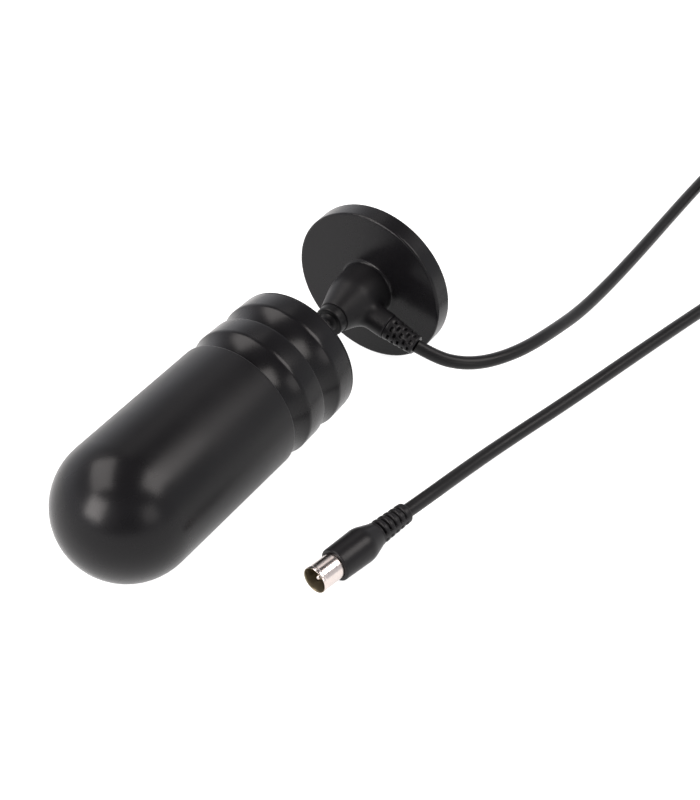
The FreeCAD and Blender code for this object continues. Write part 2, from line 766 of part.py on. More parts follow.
def make_foot_inside():
    """Magnet, the steel disc that is screwed over it, and the rubber pad."""
    start = foot_face + SIZE["foot_wall"]
    magnet = ring("foot_magnet", AERIAL, start, SIZE["magnet_thick"],
                  SIZE["magnet_inner"], SIZE["magnet_outer"])
    keeper_start = start + SIZE["magnet_thick"]
    keeper_end = keeper_start + SIZE["keeper_thick"]
    keeper = new_body("foot_keeper", AERIAL)
    outline = offset_sketch(keeper, "keeper_outline", "YZ_Plane", keeper_start)
    add_circle(outline, 0, 0, SIZE["foot_radius"] - SIZE["foot_wall"] - 0.2)
    extrude(keeper, "keeper_pad", outline, SIZE["keeper_thick"])
    sink_outline = offset_sketch(keeper, "keeper_sink_outline", "YZ_Plane", keeper_end)
    add_circle(sink_outline, 0, SIZE["foot_boss_circle"], 2.2)
    sink = extrude(keeper, "keeper_sink", sink_outline, 0.85, cut=True)
    around_x(keeper, "keeper_sinks", sink, 3)
    hole_outline = offset_sketch(keeper, "keeper_hole_outline", "YZ_Plane", keeper_end)
    add_circle(hole_outline, 0, SIZE["foot_boss_circle"], 1.3)
    hole = extrude(keeper, "keeper_hole", hole_outline, SIZE["keeper_thick"] + 0.5, cut=True)
    around_x(keeper, "keeper_holes", hole, 3)
    pad = new_body("foot_pad", AERIAL)
    pad_start = foot_back - SIZE["pad_thick"]
    pad_radius = SIZE["foot_radius"] - SIZE["foot_wall"] - 0.1
    turned(pad, "pad_turned", [
        (pad_start, 0),
        (pad_start, pad_radius),
        (foot_back - 0.3, pad_radius),
        (foot_back, pad_radius - 0.3),
        (foot_back, 0),
    ])
    places = []
    for number in range(3):
        turn = math.radians(90 + 120 * number)
        reach = SIZE["foot_boss_circle"].value
        spot = (keeper_end.value - 0.05, reach * math.cos(turn), reach * math.sin(turn))
        places.append(along_minus_x(spot))
    screws = screw_group("foot_screws", AERIAL, places, 2.0, 0.8, SIZE["pilot_radius"], 4.0)
    return magnet, keeper, pad, screws


# ---------------------------------------------------------------- strain reliefs and lead

def cut_segments(body, name, starts, width, count, turn, stagger):
    """Rows of slots round a relief, each slot an arc. Every second row is turned on a little."""
    core = SIZE["relief_core"]
    slot = SIZE["relief_slot"]
    outer = SIZE["relief_big"] + 1.0
    for row, near in enumerate(starts):
        sketch = new_sketch(body, "%s_slot_outline_%d" % (name, row + 1), "XY_Plane")
        spin = turn + stagger * (row % 2)
        sketch.AttachmentOffset = Placement(Vector(), Rotation(X_AXIS, spin))
        add_loop(sketch, [(near, core), (near + slot, core), (near + slot, outer), (near, outer)])
        groove = body.newObject("PartDesign::Groove", "%s_slot_%d" % (name, row + 1))
        groove.Profile = sketch
        groove.ReferenceAxis = (sketch, ["H_Axis"])
        groove.Angle = width
        groove.Midplane = True
        body.Tip = groove
        around_x(body, "%s_slots_%d" % (name, row + 1), groove, count)


def make_hub_relief():
    """Segmented strain relief, drawn outwards from the aerial's axis."""
    boss = SIZE["side_boss"]
    end = SIZE["relief_end"]
    bore = SIZE["cable_radius"]
    body = new_body("hub_relief", RELIEF)
    turned(body, "relief_turned", [
        (6.0, bore),
        (end, bore),
        (end, SIZE["relief_small"] - 0.4),
        (end - 0.4, SIZE["relief_small"], 0.4, 1),
        (boss + 0.5, SIZE["relief_big"]),
        (boss, SIZE["relief_big"] - 0.5, 0.5, 1),
        (boss, SIZE["relief_neck"]),
        (6.0, SIZE["relief_neck"]),
    ])
    rows = [boss + 1.9 + 2.1 * row for row in range(5)]
    cut_segments(body, "relief", rows, 27.0, 8, 0.0, 22.5)
    return body


def make_cable_end():
    """The jacketed lead inside the relief."""
    thing = cylinder("cable_end", SIZE["cable_radius"], SIZE["relief_end"] - 5.0,
                     RELIEF.multiply(along_x((5.0, 0, 0))))
    thing.Label = "cable_end"
    return thing


def tube_along(points, radius):
    """Straight runs joined by tangent arcs, with one round section. Gives the tube and radii."""
    edges = []
    radii = []
    here = points[0]
    for before, corner, after in zip(points, points[1:], points[2:]):
        into = (corner - before).normalize()
        out = (after - corner).normalize()
        turn = into.getAngle(out)
        setback = 0.45 * min((corner - before).Length, (after - corner).Length)
        bend = setback / math.tan(turn / 2)
        inward = (out - into).normalize()
        first = corner - into * setback
        last = corner + out * setback
        middle = corner + inward * (bend / math.cos(turn / 2) - bend)
        edges.append(Part.LineSegment(here, first).toShape())
        edges.append(Part.Arc(first, middle, last).toShape())
        radii.append(bend)
        here = last
    edges.append(Part.LineSegment(here, points[-1]).toShape())
    path = Part.Wire(edges)
    heading = (points[1] - points[0]).normalize()
    section = Part.Wire([Part.Circle(points[0], heading, radius).toShape()])
    sweep = Part.BRepOffsetAPI.MakePipeShell(path)
    sweep.add(section, False, False)
    sweep.build()
    sweep.makeSolid()
    solid = sweep.shape()
    expected = math.pi * radius * radius * path.Length
    print("tube length %.1f volume %.4f of section x length, least radius %.1f"
          % (path.Length, solid.Volume / expected, min(radii)))
    print("  radii", " ".join("%.0f" % bend for bend in radii))
    return solid


def make_hub_lead():
    """Thin coax from the jacketed lead, round a bend, to the back of the ball seat."""
    reach = (foot_face - SIZE["relief_offset"]).value
    drop = math.radians(SIZE["relief_drop"].value)
    side = Vector(0, -math.cos(drop), -math.sin(drop))
    start = (ball_centre + SIZE["ball_radius"]).value + 0.6
    points = [
        Vector(start, 0, 0),
        Vector(start + 3.8, 0, 0),
        Vector(reach - 0.5, 0, 0) + side * 1.6,
        Vector(reach, 0, 0) + side * 4.85,
    ]
    thing = document.addObject("Part::Feature", "hub_lead")
    thing.Label = "hub_lead"
    thing.Shape = tube_along(points, SIZE["thin_radius"].value)
    thing.Placement = AERIAL
    return thing


def coil_spot(angle, height, back):
    """A point on the coil's outer turn, moved back along the lead's way round it."""
    middle = SIZE["coil_mean"].value + 5.0
    turn = math.radians(angle)
    along = Vector(math.sin(turn), -math.cos(turn), 0)
    spot = Vector(middle * math.cos(turn), middle * math.sin(turn), height)
    return Vector(*COIL_PLACE) + spot + along * back


def make_cord(label, first, middle, last):
    thing = document.addObject("Part::Feature", label)
    thing.Label = label
    points = [first] + [Vector(*p) for p in middle] + [last]
    print(label, " ".join("(%.2f, %.2f, %.2f)" % tuple(p) for p in (first, last)))
    thing.Shape = tube_along(points, SIZE["cable_radius"].value)
    return thing


def make_cords():
    radius = SIZE["cable_radius"].value
    top = SIZE["coil_height"].value - radius
    plug_rear = -(SIZE["plug_ribs"] + SIZE["plug_cone"] + SIZE["plug_body"]).value
    lead_start = RELIEF.multVec(Vector(SIZE["relief_end"].value, 0, 0))
    lead_end = coil_spot(LEAD_ENTERS, radius, -STUB)
    tail_start = coil_spot(TAIL_LEAVES, top, STUB)
    tail_end = PLUG.multVec(Vector(plug_rear, 0, 0))
    lead = make_cord("cable_lead", lead_start, LEAD_POINTS, lead_end)
    tail = make_cord("cable_tail", tail_start, TAIL_POINTS, tail_end)
    return lead, tail


def make_coil():
    """Outer shape of the put-away turns, with the straight ends that leave it. Local X is up."""
    inner = SIZE["coil_mean"] - SIZE["coil_width"] / 2
    outer = SIZE["coil_mean"] + SIZE["coil_width"] / 2
    height = SIZE["coil_height"]
    radius = SIZE["cable_radius"]
    middle = outer - radius
    body = new_body("cable_coil", COIL)
    turned(body, "coil_turned", [
        (1.5, inner),
        (0, inner + 1.5),
        (0, outer - 1.5),
        (1.5, outer),
        (height - 1.5, outer),
        (height, outer - 1.5),
        (height, outer - 4.0),
        (height - 5.0, inner + 1.5),
        (height - 6.5, inner),
    ])
    for name, angle, level, forward in (
        ("lead_stub", LEAD_ENTERS, radius, False),
        ("tail_stub", TAIL_LEAVES, height - radius, True),
    ):
        sketch = new_sketch(body, name + "_outline", "XY_Plane")
        sketch.AttachmentOffset = Placement(Vector(), Rotation(X_AXIS, angle - 90))
        add_circle(sketch, level, middle, radius)
        extrude(body, name, sketch, STUB, reversed_=forward)
    return body


def make_coil_tie():
    """Flat band round the bundle of turns, at their far side. Local X is up."""
    thick = SIZE["tie_thick"]
    inner = SIZE["coil_mean"] - SIZE["coil_width"] / 2 - 0.5
    outer = SIZE["coil_mean"] + SIZE["coil_width"] / 2 + 0.1
    height = SIZE["coil_height"] + 0.1
    body = new_body("coil_tie", COIL.multiply(Placement(Vector(), Rotation(X_AXIS, -90))))
    sketch = offset_sketch(body, "tie_outline", "XY_Plane", SIZE["tie_width"] * -0.5)
    add_loop(sketch, [(-thick, inner - thick), (height + thick, inner - thick),
                      (height + thick, outer + thick), (-thick, outer + thick)])
    add_loop(sketch, [(0, inner), (height, inner), (height, outer), (0, outer)])
    extrude(body, "tie_pad", sketch, SIZE["tie_width"])
    return body


# ---------------------------------------------------------------- plug

def make_plug_overmould():
    """Plug body, cone and segmented relief. Local X points at the plug's tip."""
    ribs = SIZE["plug_ribs"]
    cone = SIZE["plug_cone"]
    length = ribs + cone + SIZE["plug_body"]
    radius = SIZE["plug_radius"]
    cone_start = -(cone + SIZE["plug_body"])
    body = new_body("plug_overmould", PLUG)
    turned(body, "plug_turned", [
        (-length, 0),
        (-length, SIZE["plug_rib_small"] - 0.5),
        (-length + 0.5, SIZE["plug_rib_small"], 0.5, -1),
        (cone_start, SIZE["plug_rib_big"]),
        (-SIZE["plug_body"] - 1.3, radius - 0.42),
        (-SIZE["plug_body"] + 1.37, radius - 0.04, 8.0, -1),
        (-0.9, SIZE["plug_front"]),
        (0, SIZE["plug_front"] - 0.9, 0.9, -1),
        (0, 0),
    ])
    turned(body, "plug_recess", [
        (-6.0, 0),
        (-6.0, SIZE["sleeve_radius"]),
        (1.0, SIZE["sleeve_radius"]),
        (1.0, 0),
    ], cut=True)
    turned(body, "plug_ferrule_recess", [
        (-13.0, 0),
        (-13.0, 3.2),
        (-6.0, 3.2),
        (-6.0, 0),
    ], cut=True)
    rows = [2.4 - length + 2.6 * row for row in range(5)]
    cut_segments(body, "plug", rows, 142.0, 2, 90.0, 0.0)
    return body


def make_plug_sleeve():
    radius = SIZE["sleeve_radius"]
    wall = SIZE["sleeve_wall"]
    end = SIZE["sleeve_length"]
    rim = SIZE["sleeve_rim"]
    body = new_body("plug_sleeve", PLUG)
    turned(body, "sleeve_turned", [
        (-6.0, radius - wall),
        (end, radius - wall),
        (end, radius - wall + 0.15),
        (end - 0.35, rim, 0.45, 1),
        (end - 1.0, rim),
        (end - 1.4, radius),
        (-6.0, radius),
    ])
    return body


def make_plug_insulator():
    inner = SIZE["sleeve_radius"] - SIZE["sleeve_wall"]
    body = new_body("plug_insulator", PLUG)
    turned(body, "insulator_turned", [
        (-6.0, SIZE["pin_radius"]),
        (0.9, SIZE["pin_radius"]),
        (0.9, 2.2),
        (0.3, 2.6),
        (0.3, inner),
        (-6.0, inner),
    ])
    return body


def make_plug_pin():
    radius = SIZE["pin_radius"]
    tip = SIZE["pin_length"]
    body = new_body("plug_pin", PLUG)
    turned(body, "pin_turned", [
        (-8.0, 0),
        (-8.0, radius),
        (tip - 1.0, radius),
        (tip, 0.35, 1.6, -1),
        (tip, 0),
    ])
    return body


def make_plug_ferrule():
    return ring("plug_ferrule", PLUG, -12.6, 6.6, 2.3, 3.2)


# ---------------------------------------------------------------- build and check

def build_all():
    nodes = [make_radome_shell(), make_rear_housing(), make_end_plate(), make_end_plate_screws()]
    nodes += [make_antenna_board(), make_radiator(1), make_radiator(-1), *make_balun()]
    nodes += [make_board_carrier(), make_board_screws(), make_board_foam(), make_pigtail()]
    nodes += [make_ball_stud(), make_stud_nut(), make_retaining_collar(), make_ball_seat()]
    nodes += [make_seat_spring(), make_foot_housing(), *make_foot_inside()]
    nodes += [make_hub_relief(), make_cable_end(), make_hub_lead()]
    nodes += [*make_cords(), make_coil(), make_coil_tie()]
    nodes += [make_plug_overmould(), make_plug_sleeve(), make_plug_insulator()]
    nodes += [make_plug_pin(), make_plug_ferrule()]
    return nodes


def check_and_write(nodes):
    document.recompute()
    for thing in document.Objects:
        if {"Invalid", "Error"} & set(thing.State):
            raise RuntimeError("%s is %s" % (thing.Name, thing.State))
    os.makedirs("parts", exist_ok=True)
    for node in nodes:
        shape = node.Shape
        if shape.isNull() or not shape.isValid() or not shape.Solids:
            raise RuntimeError("%s has no valid solid" % node.Label)
        box = shape.BoundBox
        print("%-18s solids %2d volume %10.1f  x %7.1f %7.1f  y %7.1f %7.1f  z %6.2f %6.2f" % (
            node.Label, len(shape.Solids), shape.Volume,
            box.XMin, box.XMax, box.YMin, box.YMax, box.ZMin, box.ZMax))
        shape.exportStep("parts/%s.step" % node.Label)


check_and_write(build_all())
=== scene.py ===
"""Looks of a capsule aerial on a ball joint with a round foot, lying with its lead.

Metres, +Z up. Turned pieces are drawn in millimetres as station and radius about a local
X axis, as in part.py, and a matrix puts them in place.
"""
import json
import math

import bmesh
import bpy
import numpy as np
from mathutils import Matrix, Vector


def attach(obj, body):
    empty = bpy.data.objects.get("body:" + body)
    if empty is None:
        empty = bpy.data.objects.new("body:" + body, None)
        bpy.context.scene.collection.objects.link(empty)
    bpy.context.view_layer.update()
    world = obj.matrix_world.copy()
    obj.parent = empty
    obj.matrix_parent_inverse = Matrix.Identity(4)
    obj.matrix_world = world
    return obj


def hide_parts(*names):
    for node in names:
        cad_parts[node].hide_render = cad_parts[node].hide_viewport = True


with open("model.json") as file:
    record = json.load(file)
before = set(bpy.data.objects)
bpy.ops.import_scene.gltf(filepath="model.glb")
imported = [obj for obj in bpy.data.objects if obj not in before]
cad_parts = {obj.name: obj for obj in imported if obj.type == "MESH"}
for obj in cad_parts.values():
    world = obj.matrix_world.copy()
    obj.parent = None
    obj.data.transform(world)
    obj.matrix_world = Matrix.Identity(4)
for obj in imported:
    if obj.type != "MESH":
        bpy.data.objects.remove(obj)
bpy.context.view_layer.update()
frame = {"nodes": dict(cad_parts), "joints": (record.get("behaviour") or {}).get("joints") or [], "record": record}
nodes = frame["nodes"]
scene = bpy.context.scene
MM = 0.001


# ---------------------------------------------------------------- places

FLAT_END = 92.4          # stations along the aerial, from the dome's centre
BALL = 115.6
HUB_TIP = BALL + 1.0
FACE = 138.65
BACK = 146.9
BODY_END = 57.8
BAND = 17.3
RADIUS = 25.0
FOOT = 30.65
RELIEF_STATION = FACE - 10.8
RELIEF_DROP = 17.0
SIDE_BOSS = 17.0
SIDE_BOSS_RADIUS = 4.95
RELIEF_END = 29.5
PLUG_PLACE = (-30.9, -59.3, 6.3)
PLUG_HEADING = 171.3
PLUG_REAR = -34.6


def aerial_matrix():
    """The aerial's local frame, from the joint that turns about its axis."""
    joint = [joint for joint in frame["joints"] if joint["name"] == "neck_turn"][0]
    along = Vector(joint["axis"]).normalized()
    across = Vector((0, 1, 0))
    turn = Matrix((along, across, along.cross(across))).transposed().to_4x4()
    return Matrix.Translation(Vector(joint["pos_m"]) - along * (BALL * MM)) @ turn


AERIAL = aerial_matrix()
RELIEF = (
    AERIAL
    @ Matrix.Translation((RELIEF_STATION * MM, 0, 0))
    @ Matrix.Rotation(math.radians(RELIEF_DROP), 4, "X")
    @ Matrix.Rotation(math.radians(-90), 4, "Z")
)
PLUG = (
    Matrix.Translation(Vector(PLUG_PLACE) * MM)
    @ Matrix.Rotation(math.radians(PLUG_HEADING), 4, "Z")
)


# ---------------------------------------------------------------- camera

camera_data = bpy.data.cameras.new("Camera")
camera_data.lens = 76.5
camera_data.sensor_width = 36.0
camera_data.clip_start = 0.01
camera_data.clip_end = 20.0
camera = bpy.data.objects.new("Camera", camera_data)
camera.location = (-0.3550, -0.2861, 0.3931)
camera.rotation_euler = (math.radians(51.203), 0.0, math.radians(-55.754))
scene.collection.objects.link(camera)
scene.camera = camera


# ---------------------------------------------------------------- materials

def new_material(name):
    material = bpy.data.materials.new(name)
    material.use_nodes = True
    return material, material.node_tree.nodes, material.node_tree.links


def position_noise(tree_nodes, links, scale, detail=3.0, stretch=None):
    """Noise in object space, which is in metres. It may be stretched along one direction."""
    where = tree_nodes.new("ShaderNodeTexCoord")
    source = where.outputs["Object"]
    if stretch:
        mapping = tree_nodes.new("ShaderNodeMapping")
        mapping.vector_type = "TEXTURE"
        mapping.inputs["Scale"].default_value = stretch
        links.new(source, mapping.inputs["Vector"])
        source = mapping.outputs["Vector"]
    noise = tree_nodes.new("ShaderNodeTexNoise")
    noise.inputs["Scale"].default_value = scale
    noise.inputs["Detail"].default_value = detail
    links.new(source, noise.inputs["Vector"])
    return noise


def spread(tree_nodes, links, source, low, high, first=0.3, last=0.7):
    """A value mapped from one range to another, and kept inside it."""
    span = tree_nodes.new("ShaderNodeMapRange")
    span.inputs["From Min"].default_value = first
    span.inputs["From Max"].default_value = last
    span.inputs["To Min"].default_value = low
    span.inputs["To Max"].default_value = high
    links.new(source, span.inputs["Value"])
    return span.outputs["Result"]


def bump_from(tree_nodes, links, source, strength, distance, base=None):
    """A bumped normal, on top of another one if there is one."""
    bumps = tree_nodes.new("ShaderNodeBump")
    bumps.inputs["Strength"].default_value = strength
    bumps.inputs["Distance"].default_value = distance
    links.new(source, bumps.inputs["Height"])
    if base:
        links.new(base, bumps.inputs["Normal"])
    return bumps.outputs["Normal"]


def moulded(name, colour, roughness, grain=2600.0, bump=0.10, specular=0.18, wear=0.04,
            flow=0.0):
    """Moulded plastic: fine grain, slow changes of gloss and colour, and flow marks."""
    material, tree_nodes, links = new_material(name)
    shader = tree_nodes["Principled BSDF"]
    shader.inputs["Specular IOR Level"].default_value = specular
    slow = position_noise(tree_nodes, links, 60.0, 4.0)
    links.new(
        spread(tree_nodes, links, slow.outputs["Fac"], roughness - wear, roughness + wear),
        shader.inputs["Roughness"],
    )
    tint = tree_nodes.new("ShaderNodeMix")
    tint.data_type = "RGBA"
    tint.inputs["A"].default_value = (*[c * 0.85 for c in colour], 1)
    tint.inputs["B"].default_value = (*[c * 1.15 for c in colour], 1)
    links.new(slow.outputs["Fac"], tint.inputs["Factor"])
    links.new(tint.outputs["Result"], shader.inputs["Base Color"])
    fine = position_noise(tree_nodes, links, grain, 2.0)
    normal = bump_from(tree_nodes, links, fine.outputs["Fac"], bump, 0.00006)
    if flow:
        streaks = position_noise(tree_nodes, links, 420.0, 3.0, (9.0, 1.0, 1.0))
        normal = bump_from(tree_nodes, links, streaks.outputs["Fac"], flow, 0.00010, normal)
    links.new(normal, shader.inputs["Normal"])
    return material


def dull_along(material, first, last, extra):
    """Makes a moulded material duller along the aerial, from one station to another."""
    tree_nodes, links = material.node_tree.nodes, material.node_tree.links
    shader = tree_nodes["Principled BSDF"]
    where = tree_nodes.new("ShaderNodeTexCoord")
    along = tree_nodes.new("ShaderNodeVectorMath")
    along.operation = "DOT_PRODUCT"
    along.inputs[1].default_value = AERIAL.col[0].to_3d()
    links.new(where.outputs["Object"], along.inputs[0])
    start = AERIAL.col[0].to_3d().dot(AERIAL.translation)
    rise = spread(tree_nodes, links, along.outputs["Value"], 0.0, extra,
                  start + first * MM, start + last * MM)
    total = tree_nodes.new("ShaderNodeMath")
    total.operation = "ADD"
    links.new(shader.inputs["Roughness"].links[0].from_socket, total.inputs[0])
    links.new(rise, total.inputs[1])
    links.new(total.outputs["Value"], shader.inputs["Roughness"])
    return material


def metal(name, colour, roughness, stretch=None, bump=0.05):
    """Plated or turned metal with fine marks along one direction."""
    material, tree_nodes, links = new_material(name)
    shader = tree_nodes["Principled BSDF"]
    shader.inputs["Metallic"].default_value = 1.0
    tint = tree_nodes.new("ShaderNodeMix")
    tint.data_type = "RGBA"
    tint.inputs["A"].default_value = (*[c * 0.90 for c in colour], 1)
    tint.inputs["B"].default_value = (*colour, 1)
    cloud = position_noise(tree_nodes, links, 300.0, 3.0)
    links.new(cloud.outputs["Fac"], tint.inputs["Factor"])
    links.new(tint.outputs["Result"], shader.inputs["Base Color"])
    marks = position_noise(tree_nodes, links, 1500.0, 4.0, stretch)
    links.new(
        spread(tree_nodes, links, marks.outputs["Fac"], roughness * 0.7, roughness * 1.4),
        shader.inputs["Roughness"],
    )
    links.new(
        bump_from(tree_nodes, links, marks.outputs["Fac"], bump, 0.00003),
        shader.inputs["Normal"],
    )
    return material


BLACK = (0.0050, 0.0048, 0.0055)
MATERIALS = {
    "black_plastic": moulded("black_plastic", BLACK, 0.26, flow=0.05),
    "black_nylon": moulded("black_nylon", (0.006, 0.006, 0.0065), 0.40, 1800.0, 0.05),
    "soft_black": moulded("soft_black", (0.0072, 0.0069, 0.0076), 0.36, 2200.0, 0.14),
    "jacket": moulded("jacket", (0.0068, 0.0067, 0.0070), 0.36, 1500.0, 0.12),
    "nickel": metal("nickel", (0.66, 0.59, 0.56), 0.20, (1.0, 8.0, 8.0)),
    "brass": metal("brass", (0.78, 0.58, 0.28), 0.28),
    "steel": metal("steel", (0.62, 0.62, 0.63), 0.32),
    "magnet": moulded("magnet", (0.03, 0.03, 0.033), 0.60, 1200.0, 0.3),
    "rubber_pad": moulded("rubber_pad", (0.018, 0.018, 0.018), 0.72, 1400.0, 0.5),
    "board": moulded("board", (0.02, 0.16, 0.05), 0.30, 900.0, 0.1),
    "copper": metal("copper", (0.80, 0.42, 0.24), 0.25),
    "ferrite": moulded("ferrite", (0.025, 0.025, 0.027), 0.55, 1500.0, 0.3),
    "brown_plastic": moulded("brown_plastic", (0.13, 0.095, 0.055), 0.34, 1800.0, 0.10),
    "foam": moulded("foam", (0.55, 0.55, 0.52), 0.90, 700.0, 0.8),
    "tie": moulded("tie", (0.012, 0.012, 0.012), 0.55, 2500.0, 0.4),
}

# The capsule is duller behind its dome, and the hub is duller than the disc.
SHELL_FINISH = dull_along(
    moulded("shell_plastic", BLACK, 0.26, flow=0.06), -8.0, 22.0, 0.12
)
FOOT_FINISH = dull_along(
    moulded("foot_plastic", BLACK, 0.25, flow=0.05), FACE - 0.4, FACE - 2.4, 0.20
)
# Darker, duller metal for the plug sleeve's bore and the front of its mouth lip: painted shade in the hollow and
# on the rolled edge.
SLEEVE_PAINTED_SHADE = metal("sleeve_painted_shade", (0.30, 0.26, 0.18), 0.45)

slot_of = {entry["node"]: entry["material_slot"] for entry in frame["record"]["subparts"]}
for node_name, node in nodes.items():
    finish = MATERIALS[slot_of[node_name]]
    if not node.material_slots:
        node.data.materials.append(finish)
    for material_slot in node.material_slots:
        material_slot.material = finish


# ---------------------------------------------------------------- mesh helpers

ON_AXIS = 1e-6           # an outline's radius below this is a point on the axis


def add_piece(name, mesh, body, *replaced, finish=None):
    """Links a mesh as a piece that stands for CAD nodes and takes the first one's finish."""
    slot = slot_of[replaced[0]]
    piece = bpy.data.objects.new(name, mesh)
    scene.collection.objects.link(piece)
    piece.data.materials.append(finish or MATERIALS[slot])
    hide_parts(*replaced)
    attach(piece, body)
    return piece


def arc_points(first, last, radius, turn, steps):
    """Points after first up to last on an arc; turn is 1 anticlockwise and -1 clockwise."""
    a, b = Vector(first), Vector(last)
    half = (b - a).length / 2
    rise = math.sqrt(max(radius * radius - half * half, 0.0))
    side = Vector((-(b - a).y, (b - a).x)).normalized() * turn
    centre = (a + b) / 2 + side * rise
    start = math.atan2(a.y - centre.y, a.x - centre.x)
    stop = math.atan2(b.y - centre.y, b.x - centre.x)
    sweep = (stop - start) * turn % (2 * math.pi) * turn
    return [
        (centre.x + radius * math.cos(start + sweep * k / steps),
         centre.y + radius * math.sin(start + sweep * k / steps))
        for k in range(1, steps + 1)
    ]


def rounded_corner(before, here, after, rounding):
    """An arc that replaces a corner, or as much of one as its two sides leave room for."""
    into, out = (here - before).normalized(), (after - here).normalized()
    half_bend = into.angle(out) / 2
    setback = min(rounding * math.tan(half_bend),
                  0.49 * (here - before).length, 0.49 * (after - here).length)
    turn = 1 if into.cross(out) > 0 else -1
    start = here - into * setback
    radius = setback / math.tan(half_bend)
    return [tuple(start)] + arc_points(start, here + out * setback, radius, turn, 6)


def outline(corners):
    """A lathe outline. A corner is (x, r), (x, r, rounding) or ("arc", x, r, radius, turn)."""
    plain = [Vector(corner[1:3] if corner[0] == "arc" else corner[:2]) for corner in corners]
    points = []
    for index, corner in enumerate(corners):
        if corner[0] == "arc":
            points += arc_points(plain[index - 1], plain[index], corner[3], corner[4], 16)
        elif len(corner) == 3:
            after = plain[(index + 1) % len(plain)]
            points += rounded_corner(plain[index - 1], plain[index], after, corner[2])
        else:
            points.append(tuple(plain[index]))
    return points


def turned_mesh(name, points, matrix, segments, closed, sharp, reach=None):
    """Turns points of station and radius, in millimetres, about the local X axis.

    reach, if there is one, gives the radius at a station, an outline radius and an angle.
    """
    verts, rings = [], []
    for x, r in points:
        if r < ON_AXIS:
            rings.append([len(verts)])
            verts.append(Vector((x, 0, 0)))
            continue
        rings.append(list(range(len(verts), len(verts) + segments)))
        for k in range(segments):
            angle = math.tau * k / segments
            out = reach(x, r, angle) if reach else r
            verts.append(Vector((x, out * math.cos(angle), out * math.sin(angle))))
    pairs = list(zip(rings, rings[1:]))
    if closed:
        pairs.append((rings[-1], rings[0]))
    faces = []
    for near, far in pairs:
        faces += ring_faces(near, far, segments)
    mesh = bpy.data.meshes.new(name)
    mesh.from_pydata([matrix @ (v * MM) for v in verts], [], faces)
    return finished(mesh, sharp)


def lathe_mesh(name, corners, matrix, segments=160, closed=False, sharp=35.0):
    """Turns an outline about the local X axis."""
    return turned_mesh(name, outline(corners), matrix, segments, closed, sharp)


def ring_faces(near, far, segments):
    """Faces between two rings of vertices, either of which may be a single point."""
    if len(near) == 1 and len(far) == 1:
        return []
    faces = []
    for k in range(segments):
        after = (k + 1) % segments
        if len(near) == 1:
            faces.append((near[0], far[after], far[k]))
        elif len(far) == 1:
            faces.append((near[k], near[after], far[0]))
        else:
            faces.append((near[k], near[after], far[after], far[k]))
    return faces


def finished(mesh, sharp=35.0):
    """Even normals, smooth shading, and sharp edges where faces meet at a real corner."""
    work = bmesh.new()
    work.from_mesh(mesh)
    bmesh.ops.recalc_face_normals(work, faces=work.faces)
    work.to_mesh(mesh)
    work.free()
    mesh.shade_smooth()
    mesh.set_sharp_from_angle(angle=math.radians(sharp))
    return mesh


def joined(name, meshes):
    """One mesh made of several."""
    work = bmesh.new()
    for mesh in meshes:
        work.from_mesh(mesh)
        bpy.data.meshes.remove(mesh)
    mesh = bpy.data.meshes.new(name)
    work.to_mesh(mesh)
    work.free()
    return mesh


# ---------------------------------------------------------------- capsule

GROOVE = RADIUS - 2.2
CREST = RADIUS + 0.25
INNER = GROOVE - 2.3
COVE = 8.2


def make_shell():
    mesh = lathe_mesh("shell", [
        (-GROOVE, 0),
        ("arc", 0, GROOVE, GROOVE, -1),
        (BODY_END, GROOVE, 0.2),
        (BODY_END, RADIUS, 0.9),
        (0, RADIUS),
        ("arc", -RADIUS, 0, RADIUS, 1),
    ], AERIAL, segments=192, sharp=50.0)
    add_piece("shell", mesh, "head", "radome_shell", finish=SHELL_FINISH)


def make_rear():
    """Two ring bands, each a hollow that rises to a crest and ends in a rounded edge."""
    second = BODY_END + BAND
    seam = FLAT_END - 0.92
    mesh = lathe_mesh("rear_shell", [
        (BODY_END - 9.0, GROOVE - 0.05),
        (BODY_END, GROOVE - 0.05),
        ("arc", BODY_END + COVE, CREST, 22.0, 1),
        (BODY_END + COVE + 1.2, CREST - 0.03, 2.0),
        (second, RADIUS, 0.9),
        (second, GROOVE),
        ("arc", second + COVE, CREST, 22.0, 1),
        (second + COVE + 1.2, CREST - 0.03, 2.0),
        (seam, RADIUS, 0.25),
        (seam, INNER),
        (BODY_END - 9.0, INNER),
    ], AERIAL, segments=192, closed=True)
    add_piece("rear_shell", mesh, "head", "rear_housing")


def cut_by(mesh, cutters):
    """Boolean difference of a mesh and several closed cutters."""
    target = bpy.data.objects.new("cut_target", mesh)
    scene.collection.objects.link(target)
    cutter = bpy.data.objects.new("cutter", joined("cutter", cutters))
    scene.collection.objects.link(cutter)
    boolean = target.modifiers.new("cut", "BOOLEAN")
    boolean.operation = "DIFFERENCE"
    boolean.solver = "EXACT"
    boolean.object = cutter
    depsgraph = bpy.context.evaluated_depsgraph_get()
    result = bpy.data.meshes.new_from_object(target.evaluated_get(depsgraph))
    bpy.data.objects.remove(target)
    bpy.data.objects.remove(cutter)
    return result


SCREW_CIRCLE = 17.2


def screw_spots():
    """Places of the three end plate screws, with local X out of the plate."""
    for number in range(3):
        turn = math.radians(90 + 120 * number)
        across = (0, SCREW_CIRCLE * math.cos(turn) * MM, SCREW_CIRCLE * math.sin(turn) * MM)
        yield AERIAL @ Matrix.Translation(across)


